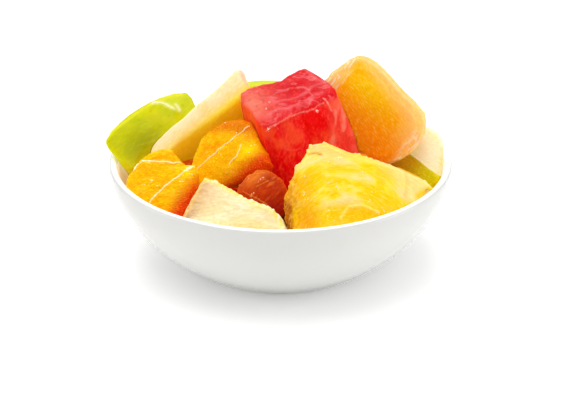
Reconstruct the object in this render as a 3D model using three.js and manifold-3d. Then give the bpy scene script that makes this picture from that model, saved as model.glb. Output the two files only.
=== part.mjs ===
// A bowl of fruit salad: a small white porcelain bowl heaped with hand-cut pieces of watermelon, melon,
// pineapple, peeled orange and green and pale dessert apples.
//
// Units are millimetres, +Z is up, and the origin is the middle of the bowl's foot, on the table. The spoon
// side of the bowl is towards -Y. Every piece of fruit is a solid of its own, turned and set down where it
// lies in the heap. Pieces further down the list give way to those above it, as cut fruit settles into the
// gaps between.

import * as THREE from "three";
import { mergeVertices } from "three/addons/utils/BufferGeometryUtils.js";
import Module from "manifold-3d";

const wasm = await Module();
wasm.setup();
const { Manifold, Mesh } = wasm;

// ---------------------------------------------------------------- driving dimensions, mm

const RIM_RADIUS = 70;
const BOWL_HEIGHT = 45;
const BASE_RADIUS = 36; // where the outside of the bowl would meet the table
const FOOT_RADIUS = 34.5;
const FOOT_WIDTH = 4;
const FOOT_RECESS = 1.6;
const FOOT_TOP = 2.4; // where the foot runs out into the side of the bowl
const FOOT_BEVEL = 0.6;
const WALL = 3.2;
const FLOOR_THICKNESS = 5;
const FLOOR_RADIUS = 26; // the flat middle of the inside
const BOWL_SIDES = 48;

const GAP = 0.35; // left between neighbours, so that no two solids touch
const HEAP_EDGE = 30; // height of the lower layer of fruit beside the bowl's wall
const HEAP_MIDDLE = 41; // and in the middle of the bowl
const HEAP_SIDES = 24;
const PLAINER = 0.7; // how far a face may move where the heap underneath is made plainer
const SLIVER = 0.03; // how far a face may move so that a cut leaves no slivers
const SHARPEST = 0.45; // least cosine, of a face and its corner's mean direction, that is followed in full

// ---------------------------------------------------------------- solids and booleans

// The closed geometry with only its positions, shared between the triangles that meet at them.
function welded(geometry) {
  const bare = geometry.clone();
  bare.deleteAttribute("normal");
  bare.deleteAttribute("uv");
  return mergeVertices(bare, 1e-4);
}

function solidOf(geometry) {
  const { attributes, index } = welded(geometry);
  return new Manifold(
    new Mesh({
      numProp: 3,
      vertProperties: new Float32Array(attributes.position.array),
      triVerts: new Uint32Array(index.array),
    }),
  );
}

function geometryOf(solid) {
  const mesh = solid.getMesh();
  return new THREE.BufferGeometry()
    .setAttribute("position", new THREE.BufferAttribute(mesh.vertProperties, 3))
    .setIndex(new THREE.BufferAttribute(mesh.triVerts, 1));
}

// The same solid with every face moved out by `by`, corners included.
function grown(solid, by) {
  const geometry = geometryOf(solid);
  const position = geometry.attributes.position;
  const index = geometry.index;
  const faceNormals = Array.from({ length: position.count }, () => []);
  const [a, b, c] = [new THREE.Vector3(), new THREE.Vector3(), new THREE.Vector3()];
  for (let i = 0; i < index.count; i += 3) {
    const corners = [index.getX(i), index.getX(i + 1), index.getX(i + 2)];
    [a, b, c].forEach((v, k) => v.fromBufferAttribute(position, corners[k]));
    const normal = b.clone().sub(a).cross(c.clone().sub(a));
    const area = normal.length();
    if (area < 1e-6) continue;
    normal.divideScalar(area);
    corners.forEach((k) => faceNormals[k].push({ normal, area }));
  }
  faceNormals.forEach((list, k) => {
    const mean = new THREE.Vector3();
    list.forEach(({ normal, area }) => mean.addScaledVector(normal, area));
    mean.normalize();
    const leastFacing = Math.min(...list.map(({ normal }) => normal.dot(mean)));
    a.fromBufferAttribute(position, k).addScaledVector(mean, by / Math.max(leastFacing, SHARPEST));
    position.setXYZ(k, a.x, a.y, a.z);
  });
  return solidOf(geometry);
}

function largestBody(solid) {
  return solid.decompose().sort((p, q) => q.volume() - p.volume())[0];
}

// ---------------------------------------------------------------- shapes

// A repeatable draw: each seed gives its own run of numbers from 0 to 1.
function randomRun(seed) {
  let state = seed * 7919 + 13;
  return () => {
    state = (state * 1664525 + 1013904223) % 4294967296;
    return state / 4294967296;
  };
}

// A field of three crossed waves about `size` long, between -1 and 1, for the unevenness of a cut face.
function waves(seed, size) {
  const next = randomRun(seed);
  const trains = Array.from({ length: 3 }, () => ({
    along: new THREE.Vector3(next() - 0.5, next() - 0.5, next() - 0.5).normalize(),
    phase: next() * Math.PI * 2,
    pace: (Math.PI * 2) / (size * (0.75 + next() * 0.6)),
  }));
  return (p) =>
    trains.reduce((sum, t) => sum + Math.sin(p.dot(t.along) * t.pace + t.phase), 0) / trains.length;
}

// A piece cut with a knife. `outline` runs round its front in [Y, Z], +X is the way the front faces, and
// `depth` is how far it goes back. `back` is how wide and how high the back is beside the front, and `shift`
// how far it is moved. `bulge` rounds the front, as the outside of a fruit is, and `edge` is how far the
// edges are rounded. The faces are uneven by `relief`, in waves about `grain` long.
function slab({ outline, parts = 2, depth, back, shift = [0, 0], bulge = 0, edge, relief, grain, seed }) {
  const front = smoothed(outline, parts);
  const middle = front.reduce((sum, p) => sum.add(p), new THREE.Vector2()).divideScalar(front.length);
  const wave = waves(seed, grain);
  const rings = [
    { x: edge + bulge * 0.8, share: 0.5 },
    { x: edge * 0.9 + bulge * 0.2, inset: edge },
    { x: edge * 0.55, inset: edge * 0.25 },
    { x: 0 },
    { x: -depth / 2 },
    { x: -depth },
    { x: -depth - edge * 0.6, inset: edge * 0.3 },
    { x: -depth - edge, inset: edge * 1.2 },
  ];
  const positions = [];
  const place = (x, across, out) => {
    const backward = THREE.MathUtils.clamp(-x / depth, 0, 1);
    const p = new THREE.Vector3(
      x,
      middle.x + across.x * THREE.MathUtils.lerp(1, back[0], backward) + shift[0] * backward,
      middle.y + across.y * THREE.MathUtils.lerp(1, back[1], backward) + shift[1] * backward,
    );
    p.addScaledVector(out, relief * wave(p));
    positions.push(p.x, p.y, p.z);
  };
  const none = new THREE.Vector2();
  place(edge + bulge, none, new THREE.Vector3(1, 0, 0));
  rings.forEach(({ x, share = 1, inset = 0 }) => {
    front.forEach((point) => {
      const across = point.clone().sub(middle);
      across.multiplyScalar(share * Math.max(0.3, 1 - inset / across.length()));
      const sideways = across.clone().normalize();
      const face = Math.min(1, inset / edge + (1 - share) * 2) * Math.sign(x + depth / 2);
      place(x, across, new THREE.Vector3(face, sideways.x, sideways.y).normalize());
    });
  });
  place(-depth - edge, none, new THREE.Vector3(-1, 0, 0));

  const triangles = [];
  const around = front.length;
  const last = 1 + rings.length * around;
  for (let i = 0; i < around; i++) {
    const next = (i + 1) % around;
    triangles.push(0, 1 + i, 1 + next);
    for (let ring = 0; ring < rings.length - 1; ring++) {
      const [inner, outer] = [1 + ring * around, 1 + (ring + 1) * around];
      triangles.push(inner + i, outer + i, outer + next, inner + i, outer + next, inner + next);
    }
    triangles.push(last, last - around + next, last - around + i);
  }
  const geometry = new THREE.BufferGeometry();
  geometry.setAttribute("position", new THREE.BufferAttribute(new Float32Array(positions), 3));
  geometry.setIndex(triangles);
  return solidOf(geometry);
}

// The closed curve through the points of an outline, with `parts` points for each of them, anticlockwise.
function smoothed(outline, parts) {
  const points = outline.map(([y, z]) => new THREE.Vector2(y, z));
  if (THREE.ShapeUtils.isClockWise(points)) points.reverse();
  const corners = points.map((p) => new THREE.Vector3(p.x, p.y, 0));
  const curve = new THREE.CatmullRomCurve3(corners, true, "centripetal");
  return curve.getPoints(points.length * parts).slice(0, -1).map((p) => new THREE.Vector2(p.x, p.y));
}

// The turn and place that take a piece's own +X to `facing` and its +Z to `along`.
function placing(at, facing, along) {
  const z = new THREE.Vector3(...along).normalize();
  const x = new THREE.Vector3(...facing);
  x.addScaledVector(z, -x.dot(z)).normalize();
  const y = z.clone().cross(x);
  return new THREE.Matrix4().makeBasis(x, y, z).setPosition(...at);
}

// ---------------------------------------------------------------- the bowl

// The bowl's outer radius at a height: almost upright at the rim and rounding in to the foot.
function outerRadius(z) {
  const share = THREE.MathUtils.clamp(z / BOWL_HEIGHT, 0, 1);
  return BASE_RADIUS + (RIM_RADIUS - BASE_RADIUS) * (1 - (1 - share) ** 2.04) ** 0.956;
}

// The bowl's inner radius at a height, a wall's thickness inside the outer one.
function innerRadius(z) {
  const share = THREE.MathUtils.clamp((z - FLOOR_THICKNESS) / (BOWL_HEIGHT - FLOOR_THICKNESS), 0, 1);
  return FLOOR_RADIUS + (RIM_RADIUS - WALL - FLOOR_RADIUS) * (1 - (1 - share) ** 2.2) ** 0.9;
}

function lathe(outline, around) {
  const geometry = new THREE.LatheGeometry(outline, around);
  geometry.rotateX(Math.PI / 2);
  return solidOf(geometry);
}

function bowl() {
  const lip = WALL / 2;
  const lipHeight = BOWL_HEIGHT - lip;
  const rises = 7;
  const height = (i, from) => from + (lipHeight - from) * (i / rises) ** 1.3;
  const outline = [
    new THREE.Vector2(0, FOOT_RECESS),
    new THREE.Vector2(FOOT_RADIUS - FOOT_WIDTH - FOOT_BEVEL, FOOT_RECESS),
    new THREE.Vector2(FOOT_RADIUS - FOOT_WIDTH, 0),
    new THREE.Vector2(FOOT_RADIUS - FOOT_BEVEL, 0),
    new THREE.Vector2(FOOT_RADIUS, FOOT_BEVEL),
  ];
  for (let i = 0; i <= rises; i++) {
    const z = height(i, FOOT_TOP);
    outline.push(new THREE.Vector2(outerRadius(z), z));
  }
  const lipSteps = 5;
  for (let i = 1; i < lipSteps; i++) {
    const t = (Math.PI * i) / lipSteps;
    outline.push(new THREE.Vector2(RIM_RADIUS - lip + lip * Math.cos(t), lipHeight + lip * Math.sin(t)));
  }
  for (let i = rises; i >= 0; i--) {
    const z = height(i, FLOOR_THICKNESS);
    outline.push(new THREE.Vector2(innerRadius(z), z));
  }
  outline.push(new THREE.Vector2(0, FLOOR_THICKNESS));
  return lathe(outline, BOWL_SIDES);
}

// ---------------------------------------------------------------- outlines

// A rectangle with its corners cut.
function rectangle(width, height, corner = 3) {
  const [y, z] = [width / 2, height / 2];
  return [
    [-y + corner, -z], [y - corner, -z], [y, -z + corner], [y, z - corner],
    [y - corner, z], [-y + corner, z], [-y, z - corner], [-y, -z + corner],
  ];
}

// An oval, which is how the skin of a wedge shows.
function oval(width, height, points = 10) {
  return Array.from({ length: points }, (_, i) => {
    const t = (i / points) * Math.PI * 2;
    return [(width / 2) * Math.cos(t), (height / 2) * Math.sin(t)];
  });
}

// ---------------------------------------------------------------- the fruit, the pieces that give way last

const COLOURS = {
  porcelain: { color: 0xf4f4f2, roughness: 0.15 },
  watermelon: { color: 0xd8262b, roughness: 0.3 },
  cantaloupe: { color: 0xf59a3c, roughness: 0.4 },
  pineapple: { color: 0xf3c21f, roughness: 0.4 },
  orange: { color: 0xf08a0c, roughness: 0.35 },
  apple_flesh: { color: 0xf4e6b4, roughness: 0.5 },
  apple_skin: { color: 0xa9bf1e, roughness: 0.25 },
  melon: { color: 0xf2dfa2, roughness: 0.45 },
};

// Where each piece lies: the middle of its front, the way that faces, and the way its outline's height runs.
const FRUIT = [
  {
    name: "watermelon_cube",
    kind: "watermelon",
    at: [1.7, -2, 69.7],
    facing: [0, -0.24, 0.97],
    along: [0, 0.97, 0.24],
    shape: {
      outline: [[-17.5, 0], [-15.5, 5.5], [-9.5, 9], [-2, 12.5], [4.5, 19], [8.5, 21], [14.5, 14.5],
        [19, 8], [20.5, 3], [16.5, -1.5], [6, -8], [-4, -18.5], [-8.5, -19.5], [-14, -8]],
      depth: 35, back: [1.28, 0.95], shift: [10.4, -9], edge: 2.2, relief: 0.8, grain: 18, seed: 4,
    },
  },
  {
    name: "pineapple_wedge",
    kind: "pineapple",
    at: [27.4, -42, 47.9],
    facing: [0.33, -0.66, 0.67],
    along: [-0.1, 0.6, 0.8],
    shape: {
      outline: [[-28.5, -1.5], [-20, 11.5], [-15, 18.5], [-10, 19.5], [-1, 16.5], [10.5, 12.5],
        [25, 7.5], [34.5, 0], [26.5, -8], [10, -16], [-11.5, -21.5], [-26, -18.5]],
      depth: 14, back: [0.8, 0.7], shift: [0, -3], edge: 3, relief: 0.8, grain: 22, seed: 9,
    },
  },
  {
    name: "cantaloupe_block",
    kind: "cantaloupe",
    at: [37.7, 6, 61.3],
    facing: [-0.19, -0.95, 0.25],
    along: [0.58, 0.1, 0.81],
    shape: {
      outline: [[-23, -2], [-21.5, 7], [-18.5, 14.5], [-14.5, 16.5], [-6.5, 16.5], [4.5, 14.5],
        [17, 12], [22, 6], [22.5, -4], [18, -13.5], [12, -18.5], [0, -18], [-12, -14.5]],
      depth: 17, back: [0.92, 0.92], shift: [-1.5, -5], edge: 4.5, relief: 0.4, grain: 26, seed: 3,
    },
  },
  {
    name: "orange_middle",
    kind: "orange",
    at: [-20.9, -17, 51],
    facing: [-0.3, -0.67, 0.67],
    along: [0, 0.71, 0.71],
    shape: {
      outline: [[-15, -7.5], [-14.5, 0], [-11, 9], [-4, 14], [2, 15.5], [10, 13.5], [14, 4],
        [17.5, -4.5], [11.5, -9], [0.5, -12], [-9, -14.5]],
      depth: 13, back: [0.75, 0.6], shift: [4, -2], bulge: 2.5, edge: 2, relief: 0.5, grain: 18, seed: 15,
    },
  },
  {
    name: "pale_apple_front",
    kind: "apple_flesh",
    at: [-18.2, -52, 45.2],
    facing: [-0.18, -0.83, 0.52],
    along: [0, 0.53, 0.85],
    shape: {
      outline: [[-10.5, 12.5], [-3, 9], [10, 2], [16.5, -1], [20.5, -7.5], [14, -14], [-3, -13],
        [-20, -8], [-18.5, -2], [-14, 6.5]],
      depth: 11, back: [0.85, 0.6], shift: [2, -2], edge: 1.2, relief: 0.4, grain: 14, seed: 12,
    },
  },
  {
    name: "pale_melon_slice",
    kind: "melon",
    at: [-33.6, 2, 59.3],
    facing: [-0.23, -0.62, 0.75],
    along: [0.61, 0.51, 0.61],
    shape: {
      outline: [[-7, -23], [-8.5, -16.5], [-6, -5], [-5, 4.5], [-2, 15.5], [0.5, 27], [5.5, 25],
        [10, 22], [7, 8], [3.5, -2.5], [0, -13], [-1.5, -21]],
      depth: 19, back: [1.1, 0.95], shift: [3, 0], edge: 1.6, relief: 0.4, grain: 16, seed: 5,
    },
  },
  {
    name: "green_apple_left",
    kind: "apple_skin",
    at: [-53.5, 3.5, 52.3],
    facing: [0.13, -0.62, 0.77],
    along: [0.67, 0.63, 0.4],
    shape: {
      outline: [[-10, -15], [-12, -5], [-11.5, 5], [-9, 15], [-3, 24.5], [3, 23], [10.5, 17],
        [13, -1.5], [9.5, -10], [6.5, -18], [-2.5, -17]],
      depth: 13, back: [0.35, 0.8], shift: [2, 0], bulge: 2.5, edge: 1.2, relief: 0.2, grain: 18, seed: 6,
    },
  },
  {
    name: "orange_left",
    kind: "orange",
    at: [-46, -33, 46.7],
    facing: [-0.25, -0.68, 0.68],
    along: [0, 0.71, 0.71],
    shape: {
      outline: [[-14.5, 1], [-13.5, 6.5], [-8, 12], [-1, 14], [3.5, 13], [9.5, 7], [13, 6.5],
        [14.5, -2], [10, -14], [3, -18], [-8.5, -12.5]],
      depth: 12, back: [0.7, 0.6], shift: [2, 0], bulge: 2, edge: 1.8, relief: 0.5, grain: 18, seed: 21,
    },
  },
  {
    name: "apple_right",
    kind: "apple_flesh",
    at: [57.3, 3, 43.4],
    facing: [-0.26, -0.77, 0.58],
    along: [0.3, 0.51, 0.81],
    shape: {
      outline: [[-10, -12], [-8.5, 0], [-6.5, 7], [-1.5, 12], [2, 11.5], [7, 9], [10, 0.5], [10.5, -7],
        [9.5, -12], [1, -14]],
      depth: 12, back: [0.8, 0.7], shift: [-4, -2], edge: 1.2, relief: 0.3, grain: 18, seed: 7,
    },
  },
  {
    name: "orange_segment",
    kind: "orange",
    at: [-7.2, -33, 45.4],
    facing: [-0.16, -0.81, 0.57],
    along: [0.67, 0.33, 0.67],
    shape: {
      outline: [[-6, -8], [-7.5, -2.5], [-6.5, 1.5], [-4.5, 5], [1, 7], [8, 6], [13.5, 0], [12, -8],
        [4, -11]],
      depth: 10, back: [0.6, 0.6], bulge: 2, edge: 1.5, relief: 0.3, grain: 18, seed: 17,
    },
  },
  {
    name: "green_apple_back",
    kind: "apple_skin",
    at: [-8, 44, 55],
    facing: [0, 0.5, 0.86],
    along: [0.99, 0.05, 0.05],
    shape: {
      outline: oval(22, 36),
      depth: 19, back: [0.25, 0.75], bulge: 3.5, edge: 1.2, relief: 0.2, grain: 18, seed: 31,
    },
  },
  {
    name: "watermelon_back",
    kind: "watermelon",
    at: [2, 25, 55],
    facing: [-0.1, 0.3, 0.95],
    along: [0.9, 0.4, -0.1],
    shape: {
      outline: rectangle(20, 28),
      depth: 18, back: [1, 0.9], edge: 2.2, relief: 0.7, grain: 15, seed: 24,
    },
  },
  {
    name: "cantaloupe_back",
    kind: "cantaloupe",
    at: [26, 47, 46],
    facing: [0.2, 0.65, 0.75],
    along: [0.9, -0.4, 0.1],
    shape: {
      outline: rectangle(24, 26, 4),
      depth: 16, back: [0.9, 0.9], edge: 3, relief: 0.5, grain: 20, seed: 33,
    },
  },
  {
    name: "orange_back",
    kind: "orange",
    at: [-38, 42, 41],
    facing: [-0.4, 0.55, 0.75],
    along: [0.75, 0.6, 0.1],
    shape: {
      outline: oval(24, 34),
      depth: 13, back: [0.5, 0.75], bulge: 3, edge: 2, relief: 0.5, grain: 18, seed: 35,
    },
  },
  {
    name: "pineapple_back",
    kind: "pineapple",
    at: [51, 32, 40],
    facing: [0.6, 0.3, 0.75],
    along: [-0.5, 0.85, 0.1],
    shape: {
      outline: [[-12, -13], [12, -9], [13, 4], [4, 14], [-9, 12], [-13, 0]],
      depth: 13, back: [0.85, 0.8], edge: 2.4, relief: 0.7, grain: 18, seed: 37,
    },
  },
  {
    name: "pale_apple_back",
    kind: "apple_flesh",
    at: [-27, 27, 47],
    facing: [-0.2, 0.45, 0.87],
    along: [0.9, 0.4, 0],
    shape: {
      outline: rectangle(17, 26),
      depth: 12, back: [0.8, 0.9], edge: 1.2, relief: 0.4, grain: 14, seed: 39,
    },
  },
];

// ---------------------------------------------------------------- the lower layer of fruit

// The cut pieces whose tops show between those above them.
const LOWER_PIECES = [
  { at: [-18, -34, 40], facing: [0.1, -0.4, 0.9], along: [0.8, 0.6, 0], size: [16, 24] },
  { at: [2, -48, 38], facing: [0, -0.4, 0.9], along: [0.9, 0.1, 0], size: [18, 24] },
  { at: [-58, 16, 36], facing: [-0.4, 0.3, 0.8], along: [0.3, 0.9, 0], size: [16, 24] },
  { at: [-52, -16, 38], facing: [-0.4, -0.3, 0.8], along: [0.4, -0.9, 0], size: [16, 24] },
  { at: [-14, 61, 38], facing: [-0.2, 0.4, 0.9], along: [1, 0.2, 0], size: [12, 26] },
  { at: [40, 12, 43], facing: [0, -0.2, 0.97], along: [0.6, 0.7, 0], size: [24, 26] },
  { at: [48, -16, 38], facing: [0.2, -0.2, 0.9], along: [0.4, 0.9, 0], size: [18, 24] },
  { at: [27, -14, 47], facing: [0.15, -0.2, 0.97], along: [0.9, 0.2, 0], size: [17, 22] },
  { at: [-41, -10, 43], facing: [-0.3, -0.1, 0.95], along: [0.6, 0.8, 0], size: [15, 20] },
  { at: [7, 57, 42], facing: [0.1, 0.5, 0.85], along: [1, -0.1, 0], size: [13, 20] },
];

// The room in the bowl for fruit, in few faces.
function hollow() {
  const bottom = FLOOR_THICKNESS + GAP;
  const steps = 6;
  const outline = [new THREE.Vector2(0, bottom)];
  for (let i = 0; i <= steps; i++) {
    const z = THREE.MathUtils.lerp(bottom, BOWL_HEIGHT - WALL, i / steps);
    outline.push(new THREE.Vector2(innerRadius(z) - GAP * 2, z));
  }
  const last = outline.at(-1);
  outline.push(new THREE.Vector2(last.x, BOWL_HEIGHT * 2), new THREE.Vector2(0, BOWL_HEIGHT * 2));
  return lathe(outline, HEAP_SIDES);
}

// The pieces underneath fill the bowl as one heap: a core with cut pieces fused on it.
function lowerFruit() {
  const steps = 4;
  const outline = [new THREE.Vector2(0, 0), new THREE.Vector2(RIM_RADIUS, 0)];
  for (let i = 0; i <= steps; i++) {
    const z = THREE.MathUtils.lerp(HEAP_EDGE, HEAP_MIDDLE, Math.sin(((i / steps) * Math.PI) / 2));
    outline.push(new THREE.Vector2(RIM_RADIUS * (1 - i / steps), z));
  }
  const cut = { parts: 1, depth: 12, back: [0.85, 0.85], edge: 2, relief: 0.3, grain: 40 };
  let heaped = lathe(outline, HEAP_SIDES);
  LOWER_PIECES.forEach(({ at, facing, along, size }, i) => {
    const piece = slab({ ...cut, outline: rectangle(...size), seed: i }).simplify(PLAINER);
    heaped = heaped.add(piece.transform(placing(at, facing, along).elements));
  });
  return heaped.intersect(hollow());
}

// ---------------------------------------------------------------- the model

const salad = new THREE.Group();

function addPiece(name, kind, solid, place = new THREE.Matrix4()) {
  const material = new THREE.MeshStandardMaterial({ ...COLOURS[kind], metalness: 0 });
  const mesh = new THREE.Mesh(geometryOf(solid), material);
  mesh.name = name;
  place.decompose(mesh.position, mesh.quaternion, mesh.scale);
  mesh.scale.set(1, 1, 1);
  salad.add(mesh);
}

const bowlSolid = bowl();
addPiece("bowl", "porcelain", bowlSolid);

// Each piece is set in place, cut back from the bowl and from the pieces before it, and put back in its own
// frame. The heap underneath is cut to a plainer copy of the pieces, held further off by as much as it is
// plainer.
let taken = grown(bowlSolid, GAP);
let heap = lowerFruit();
for (const { name, kind, at, facing, along, shape } of FRUIT) {
  const place = placing(at, facing, along);
  const fitted = largestBody(slab(shape).transform(place.elements).subtract(taken)).simplify(SLIVER);
  taken = taken.add(grown(fitted, GAP));
  heap = heap.subtract(grown(fitted.simplify(PLAINER), GAP + 2 * PLAINER));
  addPiece(name, kind, fitted.transform(place.clone().invert().elements), place);
}
addPiece("lower_fruit", "orange", largestBody(heap.simplify(PLAINER)));

export default salad;
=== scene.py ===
# %% [markdown]
# # A bowl of fruit salad
#
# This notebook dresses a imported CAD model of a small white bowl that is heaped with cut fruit. The CAD
# model is a fixed frame: it says where each piece lies and how large it is. Every piece here is made from
# its CAD node, or by the same rule, so it stays where the node is, and it gets the fine form and the finish
# of the real thing.
#
# The order is the order of the work: the frame, a few helpers, the bowl, one kind of fruit after another,
# and last the floor, the light and the camera.

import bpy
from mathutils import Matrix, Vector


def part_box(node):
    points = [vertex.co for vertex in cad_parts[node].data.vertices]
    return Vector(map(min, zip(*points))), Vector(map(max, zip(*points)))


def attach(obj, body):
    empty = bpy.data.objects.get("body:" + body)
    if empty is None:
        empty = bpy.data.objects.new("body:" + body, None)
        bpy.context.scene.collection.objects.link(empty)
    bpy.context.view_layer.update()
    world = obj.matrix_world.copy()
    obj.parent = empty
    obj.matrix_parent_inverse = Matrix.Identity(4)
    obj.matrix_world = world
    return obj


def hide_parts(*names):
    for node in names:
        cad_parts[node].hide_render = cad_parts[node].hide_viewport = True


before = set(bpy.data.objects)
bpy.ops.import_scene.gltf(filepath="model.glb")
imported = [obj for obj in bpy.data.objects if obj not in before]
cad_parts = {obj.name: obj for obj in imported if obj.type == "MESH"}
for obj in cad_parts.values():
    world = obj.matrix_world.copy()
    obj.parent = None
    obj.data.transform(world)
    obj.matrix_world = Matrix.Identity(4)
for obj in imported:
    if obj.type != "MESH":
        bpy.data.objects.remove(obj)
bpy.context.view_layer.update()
print("nodes:", ", ".join(sorted(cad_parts)))

# %% Modules and units
from contextlib import contextmanager
from itertools import product

import bmesh
import bpy
import numpy as np
from mathutils import Matrix, Vector

MM = 0.001  # Blender's metres in a millimetre

# %% [markdown]
# ## Objects and meshes
#
# Four small steps come back in nearly every cell: an object is put in the scene, a mesh is opened for
# editing, the result of the modifiers is turned into a plain mesh, and values are written on the points of
# a mesh, where a material can read them.

# %% Helpers for objects and meshes
def add_object(name, data):
    """A new object in the scene. It stays at the origin, and its place is in its mesh."""
    made = bpy.data.objects.new(name, data)
    bpy.context.scene.collection.objects.link(made)
    return made


@contextmanager
def editing(mesh):
    """Opens a mesh for editing, and writes it back."""
    shape = bmesh.new()
    shape.from_mesh(mesh)
    yield shape
    shape.to_mesh(mesh)
    shape.free()


def applied(host):
    """The plain mesh that the object's modifiers make. The modifiers are then removed."""
    mesh = bpy.data.meshes.new_from_object(host.evaluated_get(bpy.context.evaluated_depsgraph_get()))
    host.modifiers.clear()
    return mesh


def vectors(source, name):
    """One 3-D vector for each item of a mesh's list, such as the places of its points."""
    flat = np.empty(len(source) * 3)
    source.foreach_get(name, flat)
    return flat.reshape(-1, 3)


def store(attributes, name, kind, field, values):
    """Writes one value for each point of a mesh into a new one of its attributes."""
    attributes.new(name, kind, "POINT").data.foreach_set(field, values.astype(np.float32).ravel())


print("helpers for objects and meshes are ready")

# %% [markdown]
# ## Colours and nodes
#
# Colours are picked as sRGB hex values, as in any paint program, but shaders count in linear light. One
# function turns the first into the second. Colours are laid over each other like glazes, each with its own
# share at each point. Two more functions start a material and add a node to it with its settings, the
# values of its sockets and its links, which keeps every material short enough to read in one go.

# %% Helpers for materials
def linear(hex_colour):
    """An sRGB hex colour as linear red, green, blue and alpha."""
    parts = [int(hex_colour[i:i + 2], 16) / 255 for i in (1, 3, 5)]
    return [c / 12.92 if c <= 0.04045 else ((c + 0.055) / 1.055) ** 2.4 for c in parts] + [1.0]


def layered(ground, layers, count):
    """One colour for each of `count` points. Each layer is a colour and its share at each point."""
    tint = np.tile(linear(ground), (count, 1))
    for colour, share in layers:
        tint += np.clip(share, 0, 1)[:, None] * (np.array(linear(colour)) - tint)
    return tint


def new_material(name):
    """A material without any nodes, and its tree."""
    material = bpy.data.materials.new(name)
    material.use_nodes = True
    material.node_tree.nodes.clear()
    return material, material.node_tree


def socket_of(sockets, key):
    """The socket with this identifier or name. An identifier tells apart sockets that share a name."""
    return next((s for s in sockets if s.identifier == key), None) or sockets[key]


def add_node(tree, kind, values=None, links=None, **settings):
    """Adds a node. `settings` are its properties, `values` the numbers on its sockets, and `links` the output
    that feeds each socket, as (node, name)."""
    node = tree.nodes.new(kind)
    for key, value in settings.items():
        setattr(node, key, value)
    for key, value in (values or {}).items():
        socket_of(node.inputs, key).default_value = value
    for key, (source, name) in (links or {}).items():
        tree.links.new(socket_of(source.outputs, name), socket_of(node.inputs, key))
    return node


print("white is", linear("#FFFFFF"))

# %% [markdown]
# ## Unevenness
#
# Cut fruit is never flat. Its faces roll in soft hills, and its flesh is made of cells that show as grains.
# Both can be worked out for any point in space: `hills` blends random heights on a lattice, and `cells`
# tells how deep each point lies in its own cell of a scattered set. The points are in the piece's own
# frame, so a lattice that is stretched along one axis gives fibres that run the way the fruit's do.

# %% Random hills
def draw(lattice, seed):
    """A repeatable random number from 0 to 1 for each lattice point."""
    mixed = np.sin(lattice @ np.array([127.1, 311.7, 74.7]) + seed * 17.31) * 43758.5453
    return mixed - np.floor(mixed)


def hills(points, size, seed):
    """Soft random hills from -1 to 1, about `size` mm across. `size` may differ for each axis."""
    spot = points / np.array(size)
    home = np.floor(spot)
    share = spot - home
    share = share * share * (3 - 2 * share)
    height = np.zeros(len(points))
    for corner in product((0, 1), repeat=3):
        weight = np.prod(np.where(corner, share, 1 - share), axis=1)
        height += weight * draw(home + corner, seed)
    return 2 * height - 1


def rough_hills(points, size, seed, octaves=3):
    """Hills with smaller hills on them, each set half as wide and half as high as the one before."""
    layers = [hills(points, np.array(size) / 2 ** k, seed + 100 * k) / 2 ** k for k in range(octaves)]
    return sum(layers) / 1.5


def threads(points, size, seed, width=0.12):
    """Thin winding lines, like veins: 1 where random hills cross their middle height."""
    return np.exp(-(rough_hills(points, size, seed) / width) ** 2)


def ramp(values, start, end):
    """0 before start, 1 after end, and a smooth rise between them."""
    share = np.clip((values - start) / (end - start), 0, 1)
    return share * share * (3 - 2 * share)


print("hills at three points:", hills(np.array([[0.0, 0, 0], [3, 1, 2], [9, 4, 5]]), 5, 1).round(2))

# %% Cells
def cells(points, size, seed):
    """How deep each point is in its cell, from 0 on the border to 1, and a random number for each cell."""
    spot = points / np.array(size)
    home = np.floor(spot)
    near, second = np.full((2, len(points)), 9.0)
    lot = np.zeros(len(points))
    for step in product((-1, 0, 1), repeat=3):
        there = home + step
        middle = there + np.stack([draw(there, seed + k) for k in range(3)], axis=1)
        away = np.linalg.norm(middle - spot, axis=1)
        closer = away < near
        second = np.where(closer, near, np.minimum(second, away))
        lot = np.where(closer, draw(there, seed + 9), lot)
        near = np.minimum(near, away)
    return ramp(second - near, 0, 0.5), lot


print("cells at two points:", [c.round(2) for c in cells(np.array([[0.0, 0, 0], [3, 1, 2]]), 1, 1)])

# %% [markdown]
# ## Where each piece lies
#
# A cut piece has a front, which is the face that shows most. In its own frame +X points out of the front,
# and +Y and +Z run across it. These are the places and turns of the CAD model, in millimetres. They let a
# line on a segment of orange be given by where it is on that segment, and they turn each pattern with its
# piece.

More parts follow.
